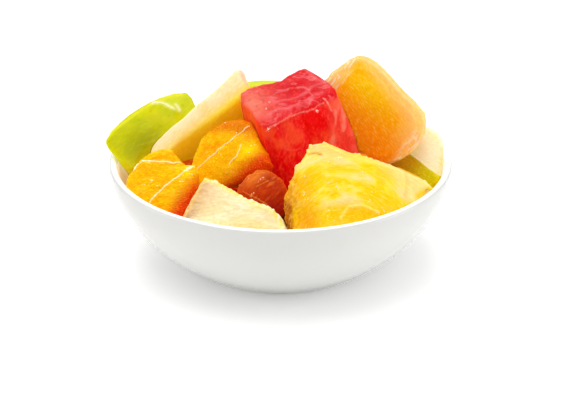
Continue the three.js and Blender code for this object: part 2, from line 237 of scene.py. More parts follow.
# %% The pieces' own frames
PLACES = {
    "watermelon_cube": ((1.7, -2, 69.7), (0, -0.24, 0.97), (0, 0.97, 0.24)),
    "pineapple_wedge": ((27.4, -42, 47.9), (0.33, -0.66, 0.67), (-0.1, 0.6, 0.8)),
    "cantaloupe_block": ((37.7, 6, 61.3), (-0.19, -0.95, 0.25), (0.58, 0.1, 0.81)),
    "orange_middle": ((-20.9, -17, 51), (-0.3, -0.67, 0.67), (0, 0.71, 0.71)),
    "pale_apple_front": ((-18.2, -52, 45.2), (-0.18, -0.83, 0.52), (0, 0.53, 0.85)),
    "pale_melon_slice": ((-33.6, 2, 59.3), (-0.23, -0.62, 0.75), (0.61, 0.51, 0.61)),
    "green_apple_left": ((-53.5, 3.5, 52.3), (0.13, -0.62, 0.77), (0.67, 0.63, 0.4)),
    "orange_left": ((-46, -33, 46.7), (-0.25, -0.68, 0.68), (0, 0.71, 0.71)),
    "apple_right": ((57.3, 3, 43.4), (-0.26, -0.77, 0.58), (0.3, 0.51, 0.81)),
    "orange_segment": ((-7.2, -33, 45.4), (-0.16, -0.81, 0.57), (0.67, 0.33, 0.67)),
    "green_apple_back": ((-8, 44, 55), (0, 0.5, 0.86), (0.99, 0.05, 0.05)),
    "watermelon_back": ((2, 25, 55), (-0.1, 0.3, 0.95), (0.9, 0.4, -0.1)),
    "cantaloupe_back": ((26, 47, 46), (0.2, 0.65, 0.75), (0.9, -0.4, 0.1)),
    "orange_back": ((-38, 42, 41), (-0.4, 0.55, 0.75), (0.75, 0.6, 0.1)),
    "pineapple_back": ((51, 32, 40), (0.6, 0.3, 0.75), (-0.5, 0.85, 0.1)),
    "pale_apple_back": ((-27, 27, 47), (-0.2, 0.45, 0.87), (0.9, 0.4, 0)),
}


def placing(at, facing, along):
    """The matrix from a piece's own frame to the bowl's, in mm."""
    z = Vector(along).normalized()
    x = Vector(facing)
    x = (x - z * x.dot(z)).normalized()
    turn = Matrix((x, z.cross(x), z)).transposed().to_4x4()
    return Matrix.Translation(Vector(at)) @ turn


def own(points, matrix):
    """Points of the bowl's frame in a piece's own frame."""
    back = np.array(matrix.inverted())
    return points @ back[:3, :3].T + back[:3, 3]


print(len(PLACES), "pieces have a place of their own")

# %% [markdown]
# ## From a CAD solid to soft flesh
#
# A CAD solid of a fruit piece has a few hundred flat faces. Remeshing it on a fine grid gives even faces
# all over, a light smoothing takes away the flats and the knife-sharp edges, and then the surface can be
# raised and lowered by a fraction of a millimetre. The same could be done by sculpting, but worked out from
# rules it comes out the same each time, and the numbers say what was meant.
#
# Two things are stored on the points for the material: `tint`, the colour, with its painted shade and
# painted highlights, and the share of painted glints in its fourth number, and `grain`, the place in mm that
# the fibres of the flesh are counted from. Where the fibres are bent, `grain` is bent with them.

# %% Copy, remesh, smooth
SAME_POINT = 0.005  # mm: points of the CAD mesh that are closer than this are one point


def drop_flecks(mesh):
    """Keeps the largest shell. A remesh can leave loose flecks beside it, where the form is very thin."""
    with editing(mesh) as shape:
        unseen, shells = set(shape.verts), []
        while unseen:
            shell = [unseen.pop()]
            for point in shell:
                beside = {edge.other_vert(point) for edge in point.link_edges} & unseen
                unseen -= beside
                shell += beside
            shells.append(shell)
        flecks = sorted(shells, key=len)[:-1]
        bmesh.ops.delete(shape, geom=[point for fleck in flecks for point in fleck], context="VERTS")


def soft_copy(node, grid, rounds):
    """A new object with the node's form in even faces `grid` mm wide, smoothed `rounds` times."""
    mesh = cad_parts[node].data.copy()
    mesh.materials.clear()
    with editing(mesh) as merged:
        bmesh.ops.remove_doubles(merged, verts=merged.verts, dist=SAME_POINT * MM)
    piece = add_object(node + "_soft", mesh)
    remesh = piece.modifiers.new("even faces", "REMESH")
    remesh.mode, remesh.voxel_size = "VOXEL", grid * MM
    smooth = piece.modifiers.new("smooth", "SMOOTH")
    smooth.factor, smooth.iterations = 0.5, rounds
    piece.data = applied(piece)
    piece.data.name = piece.name
    drop_flecks(piece.data)
    piece.data.shade_smooth()
    return piece


# %% A piece of cut fruit
class Cut:
    """A piece of cut fruit: its mesh, and in the piece's own frame its points, in mm, and how they face."""

    def __init__(self, node, grid, rounds):
        self.node = node
        self.place = placing(*PLACES[node]) if node in PLACES else Matrix.Identity(4)
        self.piece = soft_copy(node, grid, rounds)
        self.mesh = self.piece.data
        self.count = len(self.mesh.vertices)
        self.at = own(vectors(self.mesh.vertices, "co") / MM, self.place)
        self.facing = vectors(self.mesh.vertex_normals, "vector") @ np.array(self.place.to_3x3())

    def standing_out(self, rounds=24):
        """How far each point stands out of its surroundings, in mm: above 0 on edges, below 0 in creases."""
        ends = np.empty(len(self.mesh.edges) * 2, int)
        self.mesh.edges.foreach_get("vertices", ends)
        here, there = ends.reshape(-1, 2).T
        here, there = np.concatenate([here, there]), np.concatenate([there, here])
        neighbours = np.bincount(here, minlength=self.count)[:, None]
        calm = self.at
        for _ in range(rounds):
            sums = [np.bincount(here, calm[there, axis], self.count) for axis in range(3)]
            calm = np.stack(sums, axis=1) / neighbours
        return np.sum((self.at - calm) * self.facing, axis=1)

    def raise_by(self, heights):
        """Moves each point out by its height in mm, and keeps it inside the node's box."""
        points = vectors(self.mesh.vertices, "co") / MM
        out = vectors(self.mesh.vertex_normals, "vector")
        low, high = (np.array(corner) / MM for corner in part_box(self.node))
        points = np.clip(points + out * heights[:, None], low, high)
        self.mesh.vertices.foreach_set("co", (points * MM).ravel())
        self.mesh.update()

    def paint(self, ground, layers, painted_glints=0.0, grain=None):
        """Stores the layers of colour with the painted glints, and the places that the grain is counted from.
        """
        tint = layered(ground, layers, self.count)
        tint[:, 3] = painted_glints
        store(self.mesh.color_attributes, "tint", "FLOAT_COLOR", "color", tint)
        places = self.at if grain is None else grain
        store(self.mesh.attributes, "grain", "FLOAT_VECTOR", "vector", places)

    def finish(self, material):
        """Dresses the piece, stands it in for its CAD node, and lets it ride with the bowl."""
        self.mesh.materials.append(material)
        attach(self.piece, "root")
        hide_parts(self.node)
        print(f"{self.piece.name}: {len(self.mesh.polygons)} faces")


print("helpers for soft pieces are ready")

# %% [markdown]
# ## Patches and lines on a piece
#
# A real piece has its own marks: a membrane across it, a wet ridge, a patch that is riper. Each is given by
# a few points in the piece's own frame. The points of a line are laid on the surface before the distance to
# them is measured, so that a membrane half a millimetre wide follows each rise and fall of the flesh.

# %% Shares for patches and lines
def patch(at, middle, size):
    """1 in the middle and fading to 0 over about `size` mm, which may differ along each axis."""
    return np.exp(-np.sum(((at - np.array(middle)) / np.array(size)) ** 2, axis=1))


def laid(at, line, step=0.3):
    """Points every `step` mm along a line through a few corners, each moved to the nearest surface point."""
    corners = np.array(line, float)
    stops = [corners[-1:]]
    for a, b in zip(corners[:-1], corners[1:]):
        count = max(2, int(np.linalg.norm(b - a) / step))
        stops.append(a + np.linspace(0, 1, count, endpoint=False)[:, None] * (b - a))
    return np.array([at[np.argmin(np.sum((at - stop) ** 2, axis=1))] for stop in np.concatenate(stops)])


def near_lines(at, lines, width):
    """1 on any of the lines and fading to 0 over about `width` mm."""
    best = np.full(len(at), np.inf)
    for line in lines:
        for stop in laid(at, line):
            best = np.minimum(best, np.sum((at - stop) ** 2, axis=1))
    return np.exp(-best / width ** 2)


def broken(at, size, seed, kept=0.5):
    """Breaks a line up: 1 over about the share `kept` of the surface, in bits about `size` mm long."""
    return ramp(hills(at, size, seed), 0.5 - kept, 0.9 - kept)


distances = np.array([[0.0, 0, 0], [5, 0, 0], [10, 0, 0]])
print("a patch 5 mm wide, 0, 5 and 10 mm away:", patch(distances, (0, 0, 0), 5).round(2))

# %% [markdown]
# ## The flesh of fruit as a material
#
# Wet flesh looks the way it does for three reasons. Light goes a few millimetres into it and comes out
# again coloured, which softens every shadow on it: that is subsurface scattering, with a reach for red,
# green and blue. A film of juice lies on it, with beads that catch the light; their glints are painted
# highlights, near-white specks in the colour. And its colour is never even: it is deeper where the flesh is
# dense, paler where it dries or where the knife bruised it, and it has a grain. A weak painted glow, an
# emission in the flesh's own colour, stands for light that went in on another side of the piece.
#
# The larger patches are painted on the points of the mesh, and the grain is a noise in the material. It is
# counted from the `grain` place on the points, divided by the size of one grain in millimetres.

# %% Flesh
GLINT_SIZE = 0.42  # mm across a painted glint, for a bead of juice
FILM_PATCH = 6.25  # mm: the film of juice is thick and thin in patches of this size


def flesh(name, grain, reach, pale, share=0.5, mottle=0.1, bump=0.06, rough=0.4, film=0.2, glow=0.04):
    """A material for cut flesh. `grain` is the size of its grains in mm, `reach` how far red, green and blue
    light go in, in mm, `pale` the colour of the palest grains and `share` how strongly it shows, `mottle` how
    much the grains differ in brightness, `film` the weight of the film of juice, and `glow` the strength of
    a painted glow, an emission in the flesh's own colour that stands for light that went in on another side
    of the piece."""
    material, tree = new_material(name)
    here = add_node(tree, "ShaderNodeTexCoord")
    place = add_node(tree, "ShaderNodeAttribute", attribute_name="grain")
    tint = add_node(tree, "ShaderNodeAttribute", attribute_name="tint")

    # Three noises: the fibres of the flesh, the patches of the juice, and the spots of the painted glints.
    counted = add_node(tree, "ShaderNodeMapping", {"Scale": [1 / g for g in grain]},
                       {"Vector": (place, "Vector")})
    fibre = add_node(tree, "ShaderNodeTexNoise", {"Scale": 1.0, "Detail": 3.0, "Roughness": 0.6},
                     {"Vector": (counted, "Vector")})
    cloud = add_node(tree, "ShaderNodeTexNoise", {"Scale": 1 / (FILM_PATCH * MM), "Detail": 2.0},
                     {"Vector": (here, "Object")})
    glint_noise = add_node(tree, "ShaderNodeTexNoise", {"Scale": 1 / (GLINT_SIZE * MM), "Detail": 1.0},
                     {"Vector": (here, "Object")})

    # The painted colour, darker and brighter with the fibres, and with the palest of them laid over it.
    shade = add_node(tree, "ShaderNodeMapRange",
                     {"From Min": 0.3, "From Max": 0.7, "To Min": 1 - mottle, "To Max": 1 + mottle},
                     {"Value": (fibre, "Fac")})
    shaded = add_node(tree, "ShaderNodeMix", {"Factor_Float": 1.0},
                      {"A_Color": (tint, "Color"), "B_Color": (shade, "Result")},
                      data_type="RGBA", blend_type="MULTIPLY")
    palest = add_node(tree, "ShaderNodeMapRange", {"From Min": 0.52, "From Max": 0.68, "To Max": share},
                      {"Value": (fibre, "Fac")})
    colour = add_node(tree, "ShaderNodeMix", {"B_Color": linear(pale)},
                      {"Factor_Float": (palest, "Result"), "A_Color": (shaded, "Result_Color")},
                      data_type="RGBA")

    # Painted glints: where the noise and the glints painted in `tint` together are high, the colour is
    # painted nearly white, a painted highlight for beads of juice.
    glint_level = add_node(tree, "ShaderNodeMath", {1: 0.4}, {0: (tint, "Alpha"), 2: (glint_noise, "Fac")},
                      operation="MULTIPLY_ADD")
    painted_glints = add_node(tree, "ShaderNodeMapRange", {"From Min": 0.8, "From Max": 0.88, "To Max": 0.75},
                   {"Value": (glint_level, "Value")})
    glinted_colour = add_node(tree, "ShaderNodeMix", {"B_Color": linear("#FFFAF2")},
                    {"Factor_Float": (painted_glints, "Result"), "A_Color": (colour, "Result_Color")}, data_type="RGBA")

    # The relief of the fibres, and where the surface is dry or lies under a film of juice.
    relief = add_node(tree, "ShaderNodeBump", {"Strength": 1.0, "Distance": bump * MM},
                      {"Height": (fibre, "Fac")})
    dry = add_node(tree, "ShaderNodeMapRange", {"To Min": rough * 0.7, "To Max": rough * 1.4},
                   {"Value": (cloud, "Fac")})
    juice = add_node(tree, "ShaderNodeMapRange", {"From Min": 0.4, "From Max": 0.6, "To Max": film},
                     {"Value": (cloud, "Fac")})
    # The painted glow: the flesh gives out light in its own colour, with strength `glow`.
    shader = add_node(
        tree, "ShaderNodeBsdfPrincipled",
        {"IOR": 1.36, "Specular IOR Level": 0.12, "Subsurface Weight": 0.7, "Emission Strength": glow,
         "Subsurface Radius": [r * MM for r in reach], "Subsurface Scale": 1.0,
         "Coat Roughness": 0.12, "Coat IOR": 1.34},
        {"Base Color": (glinted_colour, "Result_Color"), "Emission Color": (glinted_colour, "Result_Color"),
         "Roughness": (dry, "Result"), "Normal": (relief, "Normal"), "Coat Weight": (juice, "Result")})
    add_node(tree, "ShaderNodeOutputMaterial", links={"Surface": (shader, "BSDF")})
    return material


print("flesh material is ready")

# %% [markdown]
# ## The bowl
#
# The bowl is thrown porcelain: one wall about 3 mm thick that turns over in a round lip, on a low foot
# ring. It is the same all the way round, so its shape is a rule, a profile swept round a circle. Geometry
# Nodes does that with Curve to Mesh, on a profile that is worked out from the bowl's own sizes. The two
# ends of the profile lie on the axis, where all their copies meet, and Merge by Distance closes them into
# one point each.

# %% The bowl's profile
# All sizes are in mm. The foot's edges have a small bevel, and its middle is raised off the table.
RIM_RADIUS, BOWL_HEIGHT, BASE_RADIUS = 70.0, 45.0, 36.0
FOOT_RADIUS, FOOT_WIDTH, FOOT_RECESS, FOOT_TOP, FOOT_BEVEL = 34.5, 4.0, 1.6, 2.4, 0.6
WALL, FLOOR_THICKNESS, FLOOR_RADIUS = 3.2, 5.0, 26.0
OUTER_CURVE, INNER_CURVE = (2.04, 0.956), (2.2, 0.9)  # how upright the wall ends, and how flat it starts


def curved(share, low, high, curve):
    """The wall's radius where it has risen by this share of its height, between its two end radii."""
    end, start = curve
    return low + (high - low) * (1 - (1 - share) ** end) ** start


def outer_radius(z):
    return curved(z / BOWL_HEIGHT, BASE_RADIUS, RIM_RADIUS, OUTER_CURVE)


def inner_radius(z):
    share = (z - FLOOR_THICKNESS) / (BOWL_HEIGHT - FLOOR_THICKNESS)
    return curved(share, FLOOR_RADIUS, RIM_RADIUS - WALL, INNER_CURVE)


def bowl_profile(rises=30, lip_steps=12):
    """The section of the bowl as (radius, height) in mm, from the axis under the foot to the axis inside."""
    lip = WALL / 2
    lip_height = BOWL_HEIGHT - lip
    shares = [(i / rises) ** 1.3 for i in range(rises + 1)]  # closer steps near the foot
    ring = FOOT_RADIUS - FOOT_WIDTH  # the inner radius of the foot ring
    foot = [(0, FOOT_RECESS), (ring - FOOT_BEVEL, FOOT_RECESS), (ring, 0),
            (FOOT_RADIUS - FOOT_BEVEL, 0), (FOOT_RADIUS, FOOT_BEVEL)]
    outside = [FOOT_TOP + (lip_height - FOOT_TOP) * s for s in shares]
    turn = [np.pi * i / lip_steps for i in range(1, lip_steps)]
    inside = [FLOOR_THICKNESS + (lip_height - FLOOR_THICKNESS) * s for s in reversed(shares)]
    return (foot + [(outer_radius(z), z) for z in outside]
            + [(RIM_RADIUS - lip + lip * np.cos(t), lip_height + lip * np.sin(t)) for t in turn]
            + [(inner_radius(z), z) for z in inside] + [(0, FLOOR_THICKNESS)])


profile = bowl_profile()
print(len(profile), "points in the profile")

# %% Sweep the profile round
SIDES = 160  # steps round the bowl, so many that its rim looks round
AXIS_RADIUS = 0.01  # mm: the circle that carries the profile, too small to see
CLOSED = 0.05  # mm: what lies this close together is one point, as the profile's ends on the axis do


def node_tree(name, sizes):
    """A Geometry Nodes tree with a mesh or curve in, a mesh out, and one named input for each size."""
    tree = bpy.data.node_groups.new(name, "GeometryNodeTree")
    tree.interface.new_socket("Geometry", in_out="INPUT", socket_type="NodeSocketGeometry")
    for size, kind in sizes.items():
        tree.interface.new_socket(size, in_out="INPUT", socket_type=kind)
    tree.interface.new_socket("Geometry", in_out="OUTPUT", socket_type="NodeSocketGeometry")
    return tree


def run_tree(host, tree, values):
    """Runs the tree on an object with these inputs, by their identifiers, and returns the plain mesh."""
    modifier = host.modifiers.new(tree.name, "NODES")
    modifier.node_group = tree
    for item in tree.interface.items_tree:
        if item.in_out == "INPUT" and item.name in values:
            modifier[item.identifier] = values[item.name]
    return applied(host)


def swept_tree(material):
    """The tree that sweeps a profile round the bowl's axis, closes it there and gives it its material."""
    tree = node_tree("swept round", {"Sides": "NodeSocketInt", "Axis radius": "NodeSocketFloat"})
    given = add_node(tree, "NodeGroupInput")
    circle = add_node(tree, "GeometryNodeCurvePrimitiveCircle",
                      links={"Resolution": (given, "Sides"), "Radius": (given, "Axis radius")})
    swept = add_node(tree, "GeometryNodeCurveToMesh",
                     links={"Curve": (circle, "Curve"), "Profile Curve": (given, "Geometry")})
    closed = add_node(tree, "GeometryNodeMergeByDistance", {"Distance": CLOSED * MM},
                      {"Geometry": (swept, "Mesh")})
    smooth = add_node(tree, "GeometryNodeSetShadeSmooth", links={"Geometry": (closed, "Geometry")})
    real = add_node(tree, "GeometryNodeRealizeInstances", links={"Geometry": (smooth, "Geometry")})
    dressed = add_node(tree, "GeometryNodeSetMaterial", {"Material": material},
                       {"Geometry": (real, "Geometry")})
    add_node(tree, "NodeGroupOutput", links={"Geometry": (dressed, "Geometry")})
    return tree


# %% [markdown]
# ### Glazed porcelain
#
# Porcelain is fired with a clear glaze: a white body under a thin layer of glass. The glaze gives it sharp,
# dim reflections of the fruit and the room, and it settles in very low waves that bend them a little. The
# foot ring is wiped clean of glaze so that it doesn't stick in the kiln, and stays matt. It is painted dark
# here, a painted shadow for the thin line of shadow that a bowl draws where it meets the table.
#
# The body is slightly translucent: inside, light that fell on the outside of the wall comes through, and
# warm light comes back from the fruit. That light is painted: the inner wall and the lip are painted white
# and give out a weak painted glow, whose share is the fourth number of `tint`, and on the lip the white is
# also a painted highlight where it catches the light from above. Below the fruit the inner wall is painted
# warm cream, a painted bounce of the fruit's light, and the lower wall is painted darker, painted shade.

# %% Glaze material
GLAZE_WAVE = 16.7  # mm across a wave of the glaze
BARE_FROM, BARE_TO = 0.8, 1.3  # mm: the foot is bare and painted dark up to the first height, and glazed from the second on


def glazed_porcelain():
    """White porcelain under a clear glaze, matt on the foot ring, with a painted glow and a painted shadow.
    """
    material, tree = new_material("glazed_porcelain")
    here = add_node(tree, "ShaderNodeTexCoord")
    waves = add_node(tree, "ShaderNodeTexNoise", {"Scale": 1 / (GLAZE_WAVE * MM), "Detail": 1.0},
                     {"Vector": (here, "Object")})
    height = add_node(tree, "ShaderNodeSeparateXYZ", links={"Vector": (here, "Object")})
    bare_and_painted_shadow = add_node(tree, "ShaderNodeMapRange", {"From Min": BARE_TO * MM, "From Max": BARE_FROM * MM},
                    {"Value": (height, "Z")})
    tint = add_node(tree, "ShaderNodeAttribute", attribute_name="tint")
    # Painted shadow: the bare foot ring is painted dark, for the thin line of shadow where the bowl meets the
    # table.
    colour = add_node(tree, "ShaderNodeMix", {"B_Color": linear("#5C5850")},
                      {"Factor_Float": (bare_and_painted_shadow, "Result"), "A_Color": (tint, "Color")}, data_type="RGBA")
    # Painted glow: where `tint` says so, the wall gives out light in its painted colour, for light that comes
    # through the wall and back from the fruit.
    through = add_node(tree, "ShaderNodeMix", {"A_Color": linear("#000000")},
                       {"Factor_Float": (tint, "Alpha"), "B_Color": (tint, "Color")}, data_type="RGBA")
    rough = add_node(tree, "ShaderNodeMapRange", {"To Min": 0.1, "To Max": 0.6}, {"Value": (bare_and_painted_shadow, "Result")})
    relief = add_node(tree, "ShaderNodeBump", {"Strength": 0.4, "Distance": 0.1 * MM},
                      {"Height": (waves, "Fac")})
    shader = add_node(tree, "ShaderNodeBsdfPrincipled",
                      {"IOR": 1.5, "Subsurface Weight": 0.3, "Subsurface Radius": [4 * MM] * 3,
                       "Subsurface Scale": 1.0, "Emission Strength": 0.2},
                      {"Base Color": (colour, "Result_Color"), "Emission Color": (through, "Result_Color"),
                       "Roughness": (rough, "Result"), "Normal": (relief, "Normal")})
    add_node(tree, "ShaderNodeOutputMaterial", links={"Surface": (shader, "BSDF")})
    return material


# %% Make the bowl
def polyline(name, points):
    """A curve object through points of the XY plane, in mm."""
    curve = bpy.data.curves.new(name, "CURVE")
    curve.dimensions = "3D"
    spline = curve.splines.new("POLY")
    spline.points.add(len(points) - 1)
    for point, (x, y) in zip(spline.points, points):
        point.co = (x * MM, y * MM, 0, 1)
    return add_object(name, curve)


# Curve to Mesh turns the profile so that its X points away from the axis and its Y down, so the heights are
# negative here. The circle that carries it adds its own radius. Twice that is taken off, which keeps the
# bowl just inside its CAD box.
host = polyline("bowl_profile", [(radius - 2 * AXIS_RADIUS, -z) for radius, z in profile])
bowl_mesh = run_tree(host, swept_tree(glazed_porcelain()), {"Sides": SIDES, "Axis radius": AXIS_RADIUS * MM})
bpy.data.objects.remove(host)
bowl = add_object("porcelain_bowl", bowl_mesh)
with editing(bowl_mesh) as shell:
    bmesh.ops.recalc_face_normals(shell, faces=shell.faces)
    open_edges = sum(not edge.is_manifold for edge in shell.edges)
    print("open edges:", open_edges, "volume:", round(shell.calc_volume() * 1e6, 1), "ml")
points = vectors(bowl_mesh.vertices, "co") / MM
print("bowl spans", points.min(0).round(1), "to", points.max(0).round(1), "mm")

# %% Paint the inside
WARM_BOUNCE_LEVEL = 36.0  # mm: below this the inner wall is painted warm cream, a painted bounce of the fruit's light

x, y, z = points.T
radius = np.hypot(x, y)
height = np.clip(z, FLOOR_THICKNESS, BOWL_HEIGHT)
middle = (outer_radius(height) + inner_radius(height)) / 2  # halfway through the wall
inside = ramp(middle - radius, 0, 1) * ramp(z, FLOOR_THICKNESS - 1, FLOOR_THICKNESS)
# The inner wall and the lip are painted white and glow a little: painted light, and on the lip a painted
# highlight.
lip = ramp(z, BOWL_HEIGHT - 0.8, BOWL_HEIGHT - 0.2) * ramp(RIM_RADIUS - radius, 0.4, 1.2)
painted_glow_share = np.maximum(inside, lip)
# Painted bounce light: the inner wall below the fruit is painted warm cream.
painted_light_share = inside * ramp(WARM_BOUNCE_LEVEL + 3 * hills(points, 9, 81) - z, -6, 3)
below = ramp(-z, -16, -2)  # painted shade: the lower wall is painted darker, as it stands over its own shadow
tint = layered("#D9D9D6", [("#C2C2BE", below), ("#FFFFFF", painted_glow_share), ("#F6E2BC", painted_light_share)], len(points))
tint[:, 3] = painted_glow_share
store(bowl_mesh.color_attributes, "tint", "FLOAT_COLOR", "color", tint)
print("inner share of the bowl's points:", inside.mean().round(2))
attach(bowl, "root")
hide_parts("bowl")

# %% [markdown]
# ## Watermelon
#
# A cube of ripe watermelon is clear red flesh with paler, more orange clouds where the cells are larger.
# The knife leaves thin edges that crumble, and the pale line along them is a painted highlight where they
# catch the light. The cut top lies in low ridges, with a painted sheen of the light above and painted
# glints for beads of juice on them. The marks of the large cube are given by their points, and the clouds
# by rough hills.

# %% Watermelon
CUBE_MARKS = {
    "edge": [(-0.8, -7.0, -19.5), (0.6, -5.7, -18.8), (1.0, -1.9, -16.2), (1.0, 1.8, -12.4), (0, 4.5, -9.7),
             (-0.4, 6.8, -7.7), (-0.6, 9.8, -6.1), (-0.6, 11.8, -5.1), (0, 12.9, -4), (0, 15.6, -2)],
    "corner": [(1.5, 15.6, -0.9), (-0.7, 17.4, -1.1), (-3.9, 18.8, -1.9)],
    "ridges": [[(2.6, -5.4, -3), (2.6, -3.8, -5), (2.6, -0.8, -3.7), (2.5, 4.5, -2.3), (2.6, 8.4, 1.6),
                (2.4, 10.7, 5.7), (2.2, 14.6, 8.1), (2, 17, 8)],
               [(2.2, -6.4, -12.9), (2.5, -4.6, -11.3), (2.5, -0.1, -9.4), (2.2, 4.5, -7), (1.9, 9.1, -4.7),
                (2.4, 11.8, -0.1), (2.3, 14.5, 2)],
               [(1.5, 8.6, 18.6), (2.1, 13.1, 11.6), (2.1, 16.2, 8.9)]],
    "painted_glints": [[(2.4, 1.9, 4.5), (2.4, 3, 5.5), (2.4, 4.2, 6.8), (2.4, 5.5, 7.1)],
            [(2.6, -5.6, -3), (2.4, -7.2, -7.6), (2.3, -7.6, -10.4), (2.3, -5.7, -13.5)],
            [(2.4, 11.4, -0.2), (2.1, 13.7, -0.7), (1.2, 16.8, -0.5)],
            [(-3.2, -6.4, -20), (-0.8, -7, -19.5), (0.5, -6.6, -18)],
            [(-1.5, 12.6, -4.9), (-2, 13.2, -4.9)], [(-7.2, 23, 0), (-8.2, 23.8, 0)]],
    "veins": [[(-9, 9.1, -9.7), (-8.6, 13, -7.7), (-9.3, 16.9, -5.9)],
              [(-9.9, -0.1, -19.3), (-11.9, 3, -17.6), (-13.3, 6.8, -14.5)],
              [(-16, 25.6, -3.7), (-15, 27, -1)]],
}
SHARP_CORNER = (1.0, -18.0, 0.4), (2.6, 2.6, 3.2)  # the middle and the size of the corner at the left


def watermelon(node, grid, marks=None):
    """A cube of watermelon. Its cut top faces +X, and `marks` are the lines on the large cube."""
    cut = Cut(node, grid, 6)
    at = cut.at
    x, y, z = at.T
    out = cut.standing_out(80)
    rim = ramp(out, 0.3, 1.2)
    top = ramp(x, -1.6, 0.4) * ramp(cut.facing[:, 0], 0.2, 0.5)
    side = 1 - top
    ridges = near_lines(at, marks["ridges"], 0.9) if marks else 0 * top
    # Painted glints for beads of juice, along the lines of the marks.
    painted_glints = near_lines(at, marks["painted_glints"], 0.65) if marks else 0 * top
    height = 0.7 * out + 0.9 * ramp(out, 1.6, 2.8)  # sharpens the edges and the corners
    height += 0.35 * rough_hills(at, 8, 3) + 0.3 * rim * hills(at, 1.4, 5)
    height += top * (0.25 * ridges + 0.3 * rough_hills(at, (5, 4, 4), 4) - 0.3)
    if marks:
        height += 1.6 * patch(at, *SHARP_CORNER)
    cut.raise_by(height)

    cloudy = rough_hills(at, (7, 6, 7), 7, 4)
    right = ramp(y, 16.5, 20)
    veined = threads(at, (4, 3, 3), 17)
    layers = [
        # the sides: pale clouds and veins, the left face painted coral, a painted light where it faces the
        # lamps, the streaky right face, the deep red middle
        ("#F2582E", side * ramp(cloudy, -0.05, 0.35) * 0.8),
        ("#F8805C", side * veined * 0.18),
        ("#FF7436", side * patch(at, (-4, -13.5, -9), (8, 6, 9)) * 0.9),
        ("#F56A52", side * right * (0.4 + 0.6 * ramp(cloudy, -0.3, 0.3))),
        ("#FBA08C", side * right * ramp(rough_hills(at, (6, 2.4, 6), 10), 0.05, 0.5) * 0.65),
        ("#F0060E", side * patch(at, (-4.2, 11, -7), (8, 6, 8)) * 0.95),
        ("#E03C60", side * ramp(y, 22, 26) * rim * 0.6),
        # the top: its own red, paler towards the front and the left and on the wet ridges, a painted sheen of
        # the light above, then dark cracks
        ("#DA202A", top),
        ("#E85458", top * ramp(-z, 0, 8) * ramp(rough_hills(at, (4, 2.2, 4), 9), -0.2, 0.5) * 0.8),
        ("#F28A70", top * patch(at, (1.6, -14, -6), (9, 8, 12)) * 0.9),
        ("#D20812", top * patch(at, (2.4, 4, 5.5), (6, 9, 3.5)) * 0.7),
        ("#EE8488", top * (0.4 * ridges + 0.6 * threads(at, (7, 7, 4), 18, 0.06))),
        ("#C8101C", top * threads(at, (6, 6, 4), 19, 0.1) * 0.3),
    ]
    if marks:
        # Painted highlight: a pale line along the top edge and the corner, where they catch the light, and
        # painted glints along the edge.
        edge = near_lines(at, [marks["edge"], marks["corner"]], 0.32) * (0.4 + 0.6 * broken(at, 1.0, 11))
        veins = near_lines(at, marks["veins"], 0.4) * broken(at, 3, 12, 0.6)
        layers += [("#F58672", veins * 0.3), ("#F9B8AE", edge)]
        painted_glints += 0.8 * near_lines(at, [marks["edge"]], 0.4) * broken(at, 1.0, 14, 0.3)
    cut.paint("#E60C14", layers, painted_glints * broken(at, 1.6, 13, 0.5))
    cut.finish(flesh("wet_watermelon_" + node, (1.6, 1.2, 1.6), (3.0, 0.7, 0.5), "#F86A50", share=0.3,
                     mottle=0.06, rough=0.35))


watermelon("watermelon_cube", 0.33, CUBE_MARKS)
watermelon("watermelon_back", 0.6)

# %% [markdown]
# ## Cantaloupe
#
# Ripe cantaloupe is soft, so the knife drags its fibres into short strokes that all lean one way, and its
# edges are worn round. The worn crown and end lose juice and go pale, like peach skin, and the upper edge
# is painted paler still, a painted highlight where it catches the light. How far a point stands out of its
# surroundings tells where an edge is, so the pale rim needs no line of its own.

# %% Cantaloupe
STROKE_LEAN = 0.26  # radians from +Y towards -Z, the way the knife went


def cantaloupe(node, grid):
    """A block of cantaloupe, with its worn crown at -Y and the strokes of the knife over its front."""
    cut = Cut(node, grid, 8)
    at = cut.at
    y, z = at.T[1:]
    out = cut.standing_out(80)
    rim = ramp(out, 0.05, 0.8)
    cracks = rough_hills(at, (1, 0.8, 3.2), 15)
    end = ramp(y, 16.5, 19) * ramp(-z, -7, -4)
    crown = ramp(-y, 15.5, 19)
    painted_light_top = ramp(z + 0.32 * y, 6, 14)
    ragged = (0.15 + 0.35 * (crown + end)) * rim * cracks
    cut.raise_by(0.15 + 0.6 * out + 0.25 * rough_hills(at, 8, 16) + ragged)
    cut.paint("#FFB400", [
        # the front: a bright middle over deeper orange
        ("#FFCE00", patch(at, (4, -7, 8), (9, 13, 8))),
        ("#FC9C02", ramp(-z, -8, 10) * 0.9),
        ("#FA9206", patch(at, (3, -6, -12), (9, 10, 7)) * 0.7),
        ("#FFA406", patch(at, (3, 15, -10), (9, 7, 7)) * 0.7),
        # the upper edge, painted paler: a painted highlight where it catches the light; the right side, the
        # crown with its pale cracks, and the worn lower end
        ("#FFC878", painted_light_top * 0.85), ("#FFE0B4", painted_light_top * rim),
        ("#FFCC7C", ramp(y, 9, 17) * ramp(z, -10, 4) * 0.7),
        ("#FFD29A", crown * (0.5 + 0.5 * rim)), ("#FFF0DC", crown * ramp(cracks, 0.1, 0.4) * 0.8),
        ("#FFC684", end * 0.9), ("#FFF0D8", end * threads(at, (1.5, 1.2, 5), 17, 0.12) * 0.7),
    ], grain=at @ np.array(Matrix.Rotation(STROKE_LEAN, 3, "X")).T)
    cut.finish(flesh("ripe_cantaloupe_" + node, (1.4, 2.0, 0.42), (7.0, 3.0, 0.8), "#FFDC80", share=0.5,
                     mottle=0.09, bump=0.16, rough=0.5, film=0.1))


cantaloupe("cantaloupe_block", 0.3)
cantaloupe("cantaloupe_back", 0.6)

